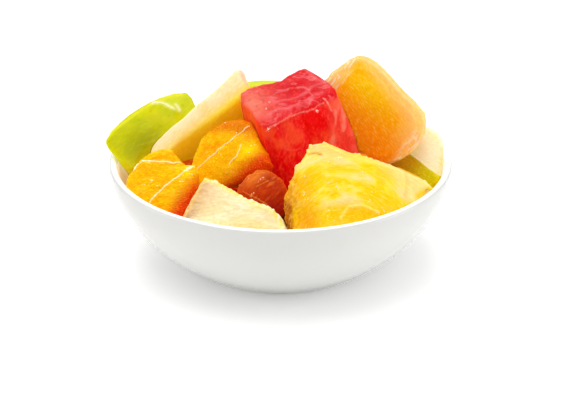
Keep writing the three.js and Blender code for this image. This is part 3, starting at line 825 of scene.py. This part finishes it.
# %% [markdown]
# ## Pineapple
#
# A wedge of pineapple is a bundle of fibres that ran from the core to the skin. They are cut across, so on
# its front they lie in arcs, and along its edges they fray into crumbs. The `grain` places are polar here:
# the distance from the core's side, and the angle round it, so that the noise in the material bends with
# the arcs. Between the fibres the flesh is clear and deep yellow.

# %% Pineapple
CORE = (-4.0, -24.0)  # the fibres of the wedge run in arcs round this point of its front
ARC = 28.0  # mm along an arc for each radian, about its mean radius
WEDGE_MARKS = {
    "crease": [(1.7, -17.2, 14.7), (2.5, -14.7, 15.1), (2.8, -12.4, 14.3)],
    "band": [(2.9, -9.2, 8.6), (2.9, -3.2, 8), (3.1, 3.7, 7.8), (2.9, 9.1, 9.7)],
    "flap": [(3, -7.4, -10.7), (3.1, -4, -6.6), (3.2, 2.1, -5.7), (3.1, 8.8, -8.9)],
    "fold": [(2, 23.1, 6.8), (2.9, 22.3, 2.3), (2.9, 20.3, -3.5)],
    "end streak": [(2.9, 26.6, -2.7), (2.8, 32.2, 0.1)],
}


def pineapple(node, grid, marks=None):
    """A wedge of pineapple, its fibres in arcs over its front. `marks` are the lines on the large one."""
    cut = Cut(node, grid, 8)
    at = cut.at
    y, z = at.T[1:]
    bent = at + np.stack([1.8 * rough_hills(at, 9, 20 + k) for k in range(3)], axis=1)
    depth, across, up = (bent - (0, *CORE)).T
    arcs = np.stack([depth, np.hypot(across, up), np.arctan2(up, across) * ARC], axis=1)
    clear = rough_hills(arcs, (6, 5, 10), 25)
    fibres = rough_hills(arcs, (3, 1.2, 7), 24)
    out = cut.standing_out()
    rim = ramp(out, 0.05, 0.35)
    left = ramp(-y, 21, 25)
    crumbs = rough_hills(at, 1.9, 27, 4)
    ragged = np.maximum(rim, left)
    height = 0.4 * out - 0.9 * left + 0.1 * fibres + 0.4 * clear + 0.3 * hills(at, 8, 26)
    height += (1.9 - 1.1 * left) * ragged * crumbs
    layers = [
        # cream fibres, clear yellow between them
        ("#F8E0A0", ramp(clear + 0.2 * fibres, -0.25, 0.35) * 0.95),
        ("#FFD200", ramp(-clear, 0.05, 0.4) * 0.9),
        ("#FFF0A8", ramp(fibres, 0.25, 0.6) * 0.2),
        # the torn left side, amber, darker towards its lower end as painted shade, with pale crumbs, and the
        # pale rim
        ("#E09A08", left * 0.9), ("#F0BC30", left * ramp(crumbs, -0.1, 0.4) * 0.7),
        ("#BC6A0A", left * ramp(-z, 2, 10) * 0.75),
        ("#FFE690", rim * (1 - left) * ramp(crumbs, -0.2, 0.4) * 0.6),
        # the juicy lower half, its left edge painted brown at the bottom as painted shade, thin veins, and
        # gold beside the torn side
        ("#F4CE00", ramp(-z, 2, 9) * 0.92),
        ("#B4580A", ramp(-y, 25, 27.5) * ramp(-z, 0, 6) * 0.85),
        ("#FFE070", threads(arcs, (5, 3, 14), 28, 0.06) * 0.4),
        ("#ECB208", ramp(-y, 13, 21) * (1 - left) * ramp(z, 12, 4) * 0.6),
    ]
    if marks:
        crease, flap_edge, fold, streak, band = (
            near_lines(at, [marks[mark]], width) for mark, width in
            (("crease", 0.5), ("flap", 0.6), ("fold", 0.9), ("end streak", 1.3), ("band", 1.5)))
        flap = patch(at, (3, 1.5, -9.5), (4, 9, 3.2))
        crown = patch(at, (2.2, -13.9, 17), (4, 4.5, 2.4))
        right = ramp(y + 0.3 * z, 21.5, 24)
        height += 0.5 * flap_edge - 0.5 * flap + 0.3 * crown
        height -= 0.4 * fold + 0.6 * crease + 0.3 * band + 0.5 * right
        layers += [
            ("#FFDA00", band * 0.95), ("#FFC800", flap), ("#FFF0A0", flap_edge * 0.4),
            ("#FFE7A4", right * 0.8), ("#FADB90", ramp(y + z, 16, 26) * 0.75), ("#FFD02C", streak * right),
            ("#F4DC98", patch(at, (2.5, -7, 14.5), (6, 10, 4)) * 0.7), ("#F6D890", crown * 0.9),
            ("#E0A83A", crease * 0.6), ("#F5C648", fold * 0.25),
            # painted shade: amber at the lower left, beside the torn side
            ("#F0A818", patch(at, (2.6, -21, -11), (5, 4, 5)) * 0.7),
        ]
    cut.raise_by(height)
    # Painted glints along thin threads of the fibres, away from the torn side.
    painted_light_share = threads(arcs, (2.6, 1.6, 5), 29, 0.07) * broken(at, 4, 30, 0.5) * (1 - left)
    cut.paint("#FFE034", layers, painted_glints=painted_light_share * 0.85, grain=arcs)
    cut.finish(flesh("ripe_pineapple_" + node, (1.4, 0.5, 2.4), (4.0, 3.0, 1.0), "#FFF2B4", share=0.2,
                     mottle=0.06, bump=0.12))


pineapple("pineapple_wedge", 0.3, WEDGE_MARKS)
pineapple("pineapple_back", 0.6)

# %% [markdown]
# ## Orange
#
# A peeled segment is a bag of small juice sacs inside a thin skin, and where two segments were torn apart
# or cut the membrane stands up as a pale thread with a frilled edge. The sacs are the cells of a scattered
# set, longer in the way they grow. Each gets its own depth of colour, and the flesh dips on both sides of a
# membrane. The shade is painted: a red-orange painted shade on the side away from the light, a painted
# shadow where the melon slice hangs over a piece, and a darker copy of the colours, painted shade, for the
# segment in the deep gap. Raised flaps and edges are painted lighter, painted highlights.

# %% Orange
# Each segment has lines for its membranes, clear flaps as (middle, size), raised and painted lighter as a
# painted highlight, and the size of its sacs along each axis. Its red painted shade and its warmer painted
# shadow are each a way across the piece, and how far along it, in mm, they set in and are full.
NOWHERE = (0, 0, 1), 30, 40  # past the end of every piece
GLINTING_SACS = 0.84  # a sac whose random number lies above this gets painted glints
THREAD = 0.2  # mm: the width of a membrane, where a segment names no other
ORANGES = {
    "orange_middle": {
        "membranes": [[(1.7, 9.4, 11.5), (3.2, 6.7, 9.1), (4, 3.9, 6.7), (4.2, -2, 2.8), (4, -6.1, -0.3),
                       (3.3, -10.3, -3.2), (2.8, -12.5, -5.2), (1.8, -14.1, -7.7)],
                      [(3.8, 6.9, 3.7), (4, 6.3, 1.5), (4.1, 5.2, -1.2), (3.9, 1.9, -4)],
                      [(2.2, -13.5, -2.5), (2, -14.2, -6.3), (1.5, -14.3, -7.8), (1.4, -11.6, -11.9)]],
        "lit_flaps": [((3.9, 10, 0), (3, 4.2, 3.6))],
        "shaded": ((0, 0.6, -0.8), 5, 12.5), "sacs": (1.3, 1.0, 1.0), "painted_shadow": ((0, 0.15, 0.99), 7.5, 12),
    },
    "orange_left": {
        "membranes": [[(0.5, -11.5, 6.5), (1, -10.2, 8.4), (1.4, -8, 10.2), (2.2, -5.4, 9.9),
                       (2.8, -2.8, 9.1), (3.1, 0.1, 8.5), (3, 2.4, 8.5), (2.5, 5, 7.9), (1.9, 6.4, 8.4),
                       (0.9, 8, 8.6)],
                      [(2.9, -4.1, -8.1), (3.4, -2.4, -6.1), (3.5, 0.3, -3.7), (3.6, 4.4, -0.4),
                       (3.5, 7, 1.2), (2.9, 9.5, 3), (2.3, 11, 4.9), (0.9, 12.8, 5.9)],
                      [(2.6, 10.5, 3.6), (1.6, 12, 5.2)], [(0.2, -11.2, 7.2), (0.9, -9.6, 9)]],
        "lit_flaps": [((2.4, 10.5, 2.6), (3, 2.6, 2))], "thread": 0.28,
        "shaded": ((0, 0.8, -0.6), 7.5, 14), "sacs": (1.2, 2.6, 0.8), "painted_shadow": NOWHERE,
    },
    "orange_segment": {
        "membranes": [[(0.3, -7.2, -3.2), (0.4, -6.7, 0.3), (1.5, -4.2, 3)],
                      [(2.6, 0.8, 3.8), (3.2, -1.2, -0.9)],
                      [(2.2, -3.9, -6), (3.2, 2.4, -4.2), (3.1, 6.5, -3.5)]],
        "lit_flaps": [((1.5, -4.5, 1), (4, 3.5, 5))],
        "shaded": ((0, 0.8, -0.3), 2, 10), "sacs": (2, 1.6, 5), "painted_shadow": NOWHERE,
    },
    "orange_back": {
        "membranes": [[(3, -10, -3), (3, 0, 1), (3, 10, -1)]], "lit_flaps": [],
        "shaded": NOWHERE, "sacs": (1.2, 1.2, 2.2), "painted_shadow": NOWHERE,
    },
}
# The orange's colours in the light, and a darker copy, painted shade, for the segment that lies in the deep
# gap. Each has its colour of painted shade and of painted shadow.
LIT_TONES = {"ground": "#F6C600", "inside": "#FFE000", "border": "#F8A000", "shade": "#DE4A08",
         "line": "#FFF8DC", "painted_shadow": "#DA7800", "pale": "#FFD040"}
SHADED_TONES = {"ground": "#BC440F", "inside": "#E88A34", "border": "#C03A0C", "shade": "#A0180A",
         "line": "#E88A3C", "painted_shadow": "#C03A0C", "pale": "#CC5C20"}


def orange(node, grid, tones):
    """A segment of orange with its membranes, its juice sacs and its end in painted shade."""
    marks = ORANGES[node]
    cut = Cut(node, grid, 8)
    at = cut.at
    inside, lot = cells(at, marks["sacs"], 31)
    frill = at + 0.22 * np.stack([hills(at, 1.4, 35 + k) for k in range(3)], axis=1)
    membrane = near_lines(frill, marks["membranes"], marks.get("thread", THREAD))
    beside = near_lines(at, marks["membranes"], 1.8)
    lit_flaps = sum([patch(at, *flap) for flap in marks["lit_flaps"]], np.zeros(cut.count))
    # The shares of the red painted shade and of the painted shadow.
    shaded, painted_shadow = (ramp(at @ np.array(way), start, stop)
                    for way, start, stop in (marks["shaded"], marks["painted_shadow"]))
    out = cut.standing_out(150)
    rim = ramp(out, 0.3, 1.2)
    clouds = rough_hills(at, 4, 36)
    pulp = rough_hills(at, np.array(marks["sacs"]) * 2.2, 38)
    calm = 1 - 0.7 * shaded
    height = 0.2 * hills(at, 7, 32) + 0.15 * calm * inside + 0.35 * calm * pulp + 0.45 * out
    height += 0.3 * membrane - 0.3 * beside + 0.5 * lit_flaps + 0.9 * rim * calm * rough_hills(at, 2, 33)
    cut.raise_by(height)
    deeper = 0.4 * (1 - inside) + 0.2 * ramp(clouds, 0.0, 0.5) + 0.35 * ramp(-pulp, 0.1, 0.5)
    # Painted on each segment: the red painted shade, the painted shadow, the lit flaps and the edges painted
    # lighter as painted highlights, and painted glints on a few wet sacs.
    cut.paint(tones["ground"], [
        (tones["inside"], calm * inside * (0.05 + 0.3 * lot)),
        (tones["border"], calm * deeper),
        (tones["pale"], calm * 0.35 * ramp(pulp, 0.2, 0.6)),
        (tones["painted_shadow"], 0.85 * painted_shadow), (tones["inside"], 0.8 * lit_flaps), (tones["shade"], shaded),
        (tones["line"], 1.3 * membrane * (0.7 + 0.3 * broken(at, 1.5, 34))),
        (tones["inside"], rim * calm * (1 - painted_shadow) * 0.5),
    ], painted_glints=(lot > GLINTING_SACS) * inside * calm * ramp(at[:, 0], -1, 1) * broken(at, 4, 37, 0.55) * 0.75)
    cut.finish(flesh("juicy_orange_" + node, [size * 0.45 for size in marks["sacs"]], (4.0, 2.4, 0.3),
                     tones["pale"], share=0.25, mottle=0.16, bump=0.24, glow=0.1))


for node, grid, tones in (("orange_middle", 0.2, LIT_TONES), ("orange_left", 0.2, LIT_TONES),
                          ("orange_segment", 0.25, SHADED_TONES), ("orange_back", 0.5, LIT_TONES)):
    orange(node, grid, tones)

# %% [markdown]
# ## Apple without its skin
#
# Pale apple flesh is dense and dry, so it has almost no shine. It browns where a knife or a thumb pressed
# it, and along the peel's side it keeps a torn, yellow edge. The piece at the right still has a strip of
# its skin, which turns from brown in the shade to green in the light.

# %% Apple flesh
APPLE_EDGES = {
    "cut": [(1, -17.7, -2.1), (0.9, -15.3, 2.3), (0.6, -12.8, 7), (0.5, -10.5, 11.6)],
    "peel": [(0.6, -10.3, 11.6), (0.7, -6.8, 10.9), (0.7, -2.4, 8.5), (0.7, 0.2, 6.6), (0.7, 7, 3.3),
             (1.2, 10.1, 1.3), (0.1, 12.5, 1.1), (0.7, 16.2, -1.3), (0.9, 18.2, -4), (1.1, 19.5, -7.1)],
}
CORE_VEIN = [(0.6, 8.2, 5.3), (0.8, 9.3, -0.2), (0.9, 9.8, -5.5)]
# The piece at the right has its skin below this line, which is given as (y, z).
PEEL_TOP = [(-12, 2), (-3.9, -0.9), (0.9, -2.7), (5.4, -4.8), (10.3, -6.4), (14, -8)]


def apple(node, grid):
    """A piece of pale apple. The one in front has a torn edge, and the one at the right a strip of skin."""
    cut = Cut(node, grid, 5)
    at = cut.at
    y, z = at.T[1:]
    mottles = rough_hills(at, (4, 5, 3), 42, 4)
    out = cut.standing_out(40)
    rim = ramp(out, 0.1, 0.5)
    height = 0.1 + 0.8 * out + 0.2 * hills(at, 6, 44) + 0.25 * rim * hills(at, 1.2, 45)
    layers = [("#FAE8B0", ramp(mottles, -0.15, 0.55) * 0.6), ("#FFF8E0", ramp(-mottles, 0.15, 0.6) * 0.6)]
    if node == "pale_apple_front":
        pressed, cut_edge = (near_lines(at, [APPLE_EDGES["cut"]], width) for width in (3.6, 0.4))
        torn = near_lines(at, [APPLE_EDGES["peel"]], 0.9)
        crumbs = rough_hills(at, 1.5, 46)
        layers += [
            ("#F8DC8A", patch(at, (1, 4, -8), (4, 14, 4)) * 0.7),
            ("#F0D49C", 0.5 * threads(at, (2, 5, 1.6), 49, 0.1)),
            ("#B88C62", pressed * (0.5 + 0.4 * ramp(rough_hills(at, (1, 2.4, 0.9), 47), -0.2, 0.5))),
            ("#F0CC94", patch(at, (1, -11, 6), (5, 6, 6)) * 0.6), ("#F0CC74", cut_edge * 0.9),
            ("#F8E060", torn * 0.8), ("#FFFBE0", torn * ramp(crumbs, 0, 0.4) * 0.7),
        ]
        height += 0.9 * torn * crumbs
    if node == "apple_right":
        below = np.interp(y, *zip(*PEEL_TOP)) - z
        skin = ramp(below, -0.15, 0.25)
        sunny = ramp(y, -4, 9)
        vein = near_lines(at, [CORE_VEIN], 0.5)
        layers += [
            # the flesh, the core's vein, and the skin: painted brown towards the shade and green towards the
            # light, painted shade and light
            ("#FFF8DA", 0.8 * (1 - skin)), ("#F0DC90", vein * 0.7), ("#D4AE12", skin),
            ("#D8D408", skin * sunny), ("#B4B40A", skin * ramp(below, 1.6, 0.2) * (1 - sunny) * 0.7),
        ]
        height += 0.3 * ramp(below, -0.3, 0.4)
    cut.raise_by(height)
    cut.paint("#FFF3D0", layers)
    cut.finish(flesh("crisp_apple_" + node, (0.7, 1.4, 0.6), (4.0, 3.0, 1.6), "#FFFAE0", share=0.1,
                     mottle=0.06, rough=0.5, film=0.05))


for node, grid in (("pale_apple_front", 0.3), ("pale_apple_back", 0.6), ("apple_right", 0.35)):
    apple(node, grid)

# %% [markdown]
# ## Pale melon
#
# The slice leans on the watermelon, with its cut face up and its rounded side towards the bowl. Light
# enters the cut face and comes out of the side as amber, deeper the further it had to go. Scattering alone
# would ask for very many samples, so the amber is painted by how far below the cut face a point lies.

# %% Pale melon slice
SLICE_TIP = (1.0, 1.2, 27.0), (2.4, 2.4, 3.2)  # its middle and its size
RIND_SIDE = [(0.8, 1.5, 26.4), (0.9, 4.9, 24.5), (0.4, 8.1, 23.3)]  # the pink edge beside the tip


def melon(node, grid):
    """A slice of pale melon, dry on its cut face and amber on its side."""
    cut = Cut(node, grid, 60)
    at = cut.at
    x, y, z = at.T
    mottles = rough_hills(at, (3, 2.5, 5), 51, 4)
    out = cut.standing_out(60)
    rim = ramp(out, 0.1, 0.8)
    height = 0.2 + 0.25 * rough_hills(at, 7, 53) + 0.15 * rim * hills(at, 1.5, 54)
    cut.raise_by(height + 1.2 * patch(at, *SLICE_TIP))
    deep = y - 0.25 * z - 0.8 * x  # mm below the dry upper edge
    cut.paint("#EAD4AE", [
        ("#ECC880", ramp(mottles, -0.15, 0.5) * 0.6),
        ("#E4C464", ramp(deep, -5, 3) * 0.75), ("#F2DC28", ramp(deep, 0, 5)), ("#EEDA12", ramp(deep, 4, 12)),
        ("#F5AFA2", near_lines(at, [RIND_SIDE], 0.6) * 0.8),
    ])
    cut.finish(flesh("pale_melon_" + node, (1.0, 0.8, 2.0), (8.0, 6.0, 2.0), "#FFF2CC", share=0.12,
                     mottle=0.05, rough=0.5, film=0.1, glow=0.2))


melon("pale_melon_slice", 0.32)

# %% [markdown]
# ## Green apple with its skin
#
# Apple skin is a thin waxed film, green and yellow in clouds with small pale dots. Wax gives it a smooth,
# soft shine, painted here as a painted highlight with painted glints, and at the cut it ends in a thin
# bright edge, painted light where the light comes through from behind.

# %% Green apple
# Painted light on the piece at the left, in its own frame: lines of painted highlight on its skin, and its
# cut edge, painted bright.
SKIN_SHINE = [[(1.7, -8.7, 10.7), (2.2, -6.5, 13), (2.8, -3.8, 13.6), (3.1, -0.6, 14.2)],
              [(2.7, -1.2, 16.5), (2.8, 1.5, 15.4)]]
SKIN_EDGE = [(0.5, -10.5, -13), (1.7, -10.7, -7.1), (1.9, -10.1, -0.6), (1.8, -9.7, 4.5), (1.8, -8.5, 10.6),
             (1.8, -7.4, 14), (1.8, -5.8, 17.9), (1.7, -3.4, 21.8)]
SKIN_TIP = (0.4, -9.8, -17.4), (1.8, 1.8, 2.4)  # the middle and the size of the lower point


def green_apple(node, grid):
    """A piece of green apple with its skin outwards. The one at the left shows its dots and its painted
    shine.
    """
    cut = Cut(node, grid, 5)
    at = cut.at
    x, y, z = at.T
    clouds = ramp(rough_hills(at, 6, 62), 0.0, 0.6)
    height = 0.1 + 0.5 * cut.standing_out(40) + 0.1 * hills(at, 9, 64)
    if node == "green_apple_left":
        inside, lot = cells(at, 2.6, 61)
        dots = (lot > 0.6) * ramp(inside, 0.97, 1)
        shine = near_lines(at, SKIN_SHINE, 0.9)
        height += 0.2 * shine + 0.5 * patch(at, *SKIN_TIP)
        ground, layers = "#C8C800", [
            ("#D8D208", ramp(z, -4, 12) * 0.8), ("#B2C206", clouds * 0.35),
            ("#A4A608", patch(at, (3, 2.5, -6), (7, 6, 8)) * 0.95),
            ("#C8B606", patch(at, (3, 7.5, -9), (6, 4, 9)) * 0.8),
            ("#D4DA3C", ramp(z - 0.25 * y, 13.5, 16) * 0.8), ("#E4DC18", ramp(-z, 14, 18) * 0.5),
            # the dots, then painted light: the cut edge painted bright and the shine painted pale, a painted
            # highlight
            ("#9AA214", dots * 0.2), ("#E2E038", near_lines(at, [SKIN_EDGE], 0.8) * 0.9),
            ("#FAF8C8", shine * 0.5),
        ]
    else:
        shine = 0
        ground, layers = "#D4DC34", [("#A8B80C", ramp(-x, 2, 6)), ("#BCCC10", clouds * 0.5)]
    cut.raise_by(height)
    cut.paint(ground, layers, painted_glints=0.75 * shine)
    cut.finish(flesh("waxy_apple_skin_" + node, (1.5, 1.5, 3), (3.0, 2.6, 0.4), "#E2E010", share=0.2,
                     mottle=0.04, bump=0.02, rough=0.3))


green_apple("green_apple_left", 0.35)
green_apple("green_apple_back", 0.6)

# %% [markdown]
# ## The fruit underneath
#
# Only the tops of the lower pieces show, in the gaps. The CAD model has them fused to one heap, so one soft
# copy of it is enough, and each point takes the colour of the piece that it is nearest to. The pieces in
# the deepest gaps at the front are dark red and brown: painted shade.

# %% Lower fruit
# Centres of the lower pieces in mm, and their colours; #B80C10, #981810 and #C04A0C are painted shade for the
# deep gaps.
LOWER_COLOURS = {
    (-18, -34, 40): "#B80C10", (2, -48, 38): "#981810", (-58, 16, 36): "#F6CC60", (-52, -16, 38): "#FFC24C",
    (-14, 61, 38): "#F6DC90", (40, 12, 43): "#F07A10", (48, -16, 38): "#F2C038", (27, -14, 47): "#FA8C0A",
    (-41, -10, 43): "#C04A0C", (7, 57, 42): "#E8503C",
}
SUNK = 3.0  # mm: the piece behind the pineapple has slid down, out of sight
SUNK_PATCH = (27, -14, 50), (11, 13, 9)  # its middle and its size

lower = Cut("lower_fruit", 0.8, 6)
centres = np.array(list(LOWER_COLOURS))
nearest = np.argmin(np.linalg.norm(lower.at[:, None] - centres, axis=2), axis=1)
lower.raise_by(0.3 * hills(lower.at, 6, 71) - SUNK * patch(lower.at, *SUNK_PATCH))
own_colours = [(colour, 1.0 * (nearest == i)) for i, colour in enumerate(LOWER_COLOURS.values())]
lower.paint("#D8541A", own_colours + [("#F8A040", 0.15 * ramp(hills(lower.at, 4, 72), 0.1, 0.8))])
lower.finish(flesh("mixed_wet_fruit", (2, 2, 2), (5.0, 2.0, 0.5), "#FFC070", share=0.3))

# %% [markdown]
# ## A white table
#
# Food is often shown on a seamless white sheet, so that nothing but the dish has a colour. A large flat
# plane can be that sheet. It scatters all light and has no shine, and a weak light of its own stands for
# the bounce of a white room, which would ask for many more samples. Only the soft shadow under the bowl
# then tells where the table is.

# %% White table
def table_material():
    """White paper without any shine, which gives back a little of the light of the room."""
    material, tree = new_material("seamless_white_paper")
    shader = add_node(tree, "ShaderNodeBsdfPrincipled",
                      {"Base Color": linear("#FAFAFA"), "Roughness": 1.0, "Specular IOR Level": 0.0,
                       "Emission Color": linear("#FFFFFF"), "Emission Strength": 0.18})
    add_node(tree, "ShaderNodeOutputMaterial", links={"Surface": (shader, "BSDF")})
    return material


TABLE_REACH = 3.0  # m, from the middle to each edge

floor = add_object("floor", bpy.data.meshes.new("floor"))
with editing(floor.data) as plane:
    bmesh.ops.create_grid(plane, x_segments=1, y_segments=1, size=TABLE_REACH)
floor.data.materials.append(table_material())
print("table of", round(floor.dimensions.x, 1), "m in white paper")

# %% [markdown]
# ## Soft light from all sides
#
# Wet fruit looks juicy when a few large, soft lights mirror in it as broad pale patches. The largest hangs
# over the bowl and gives the short shadow. The one behind lights the rims and lets the peels glow, the weak
# one in front opens the shadows between the pieces, and the low ones at the sides turn the bowl's wall
# white towards its outline. The world around adds even light from all directions, as white walls do.

# %% Softboxes
AIM = (0, 0, 0.04)  # the middle of the heap, in m

scene = bpy.context.scene
scene.view_settings.view_transform = "Standard"
scene.view_settings.look = "Medium High Contrast"
world = bpy.data.worlds.new("studio")
scene.world = world
world.use_nodes = True
world.node_tree.nodes["Background"].inputs["Color"].default_value = (1, 1, 1, 1)
world.node_tree.nodes["Background"].inputs["Strength"].default_value = 0.47


def softbox(name, place, width, radiance):
    """A round soft light. Its power follows from how bright its face is, in W/(sr m2), and from its area."""
    light = bpy.data.lights.new(name, "AREA")
    light.shape, light.size = "DISK", width
    light.energy = radiance * np.pi * np.pi * (width / 2) ** 2
    lamp = add_object(name, light)
    lamp.location = place
    lamp.rotation_euler = (Vector(AIM) - Vector(place)).to_track_quat("-Z", "Y").to_euler()
    print(name, "gives", round(light.energy, 1), "W")


softbox("top_softbox", (-0.16, -0.2, 1.9), 1.5, 2.3)
softbox("back_softbox", (-0.16, 1.2, 1.4), 1.2, 1.4)
softbox("front_softbox", (-0.2, -1.7, 1.1), 1.2, 0.2)
softbox("right_softbox", (1.5, -0.3, 0.5), 1.0, 2.0)
softbox("left_softbox", (-1.5, -0.3, 0.4), 1.0, 1.1)

# %% [markdown]
# ## The camera
#
# The camera stands about 60 cm away and looks down by 26 degrees, as someone at the table does. A narrow
# view from there keeps the bowl's rim a calm ellipse.

# %% Camera
SENSOR = 36.0  # mm, the width of the sensor
FOCAL_WIDTHS = 1438.6 / 570  # the focal length, in widths of the picture
EYE, TARGET = (1.742, -538.8, 283.7), (1.742, 0, 19.68)  # mm

camera_data = bpy.data.cameras.new("camera")
camera_data.sensor_width = SENSOR
camera_data.lens = FOCAL_WIDTHS * SENSOR
camera = add_object("camera", camera_data)
eye, target = Vector(EYE) * MM, Vector(TARGET) * MM
camera.location = eye
camera.rotation_euler = (target - eye).to_track_quat("-Z", "Y").to_euler()
scene.camera = camera
print("camera at", round((target - eye).length * 100), "cm with a lens of", round(camera_data.lens), "mm")
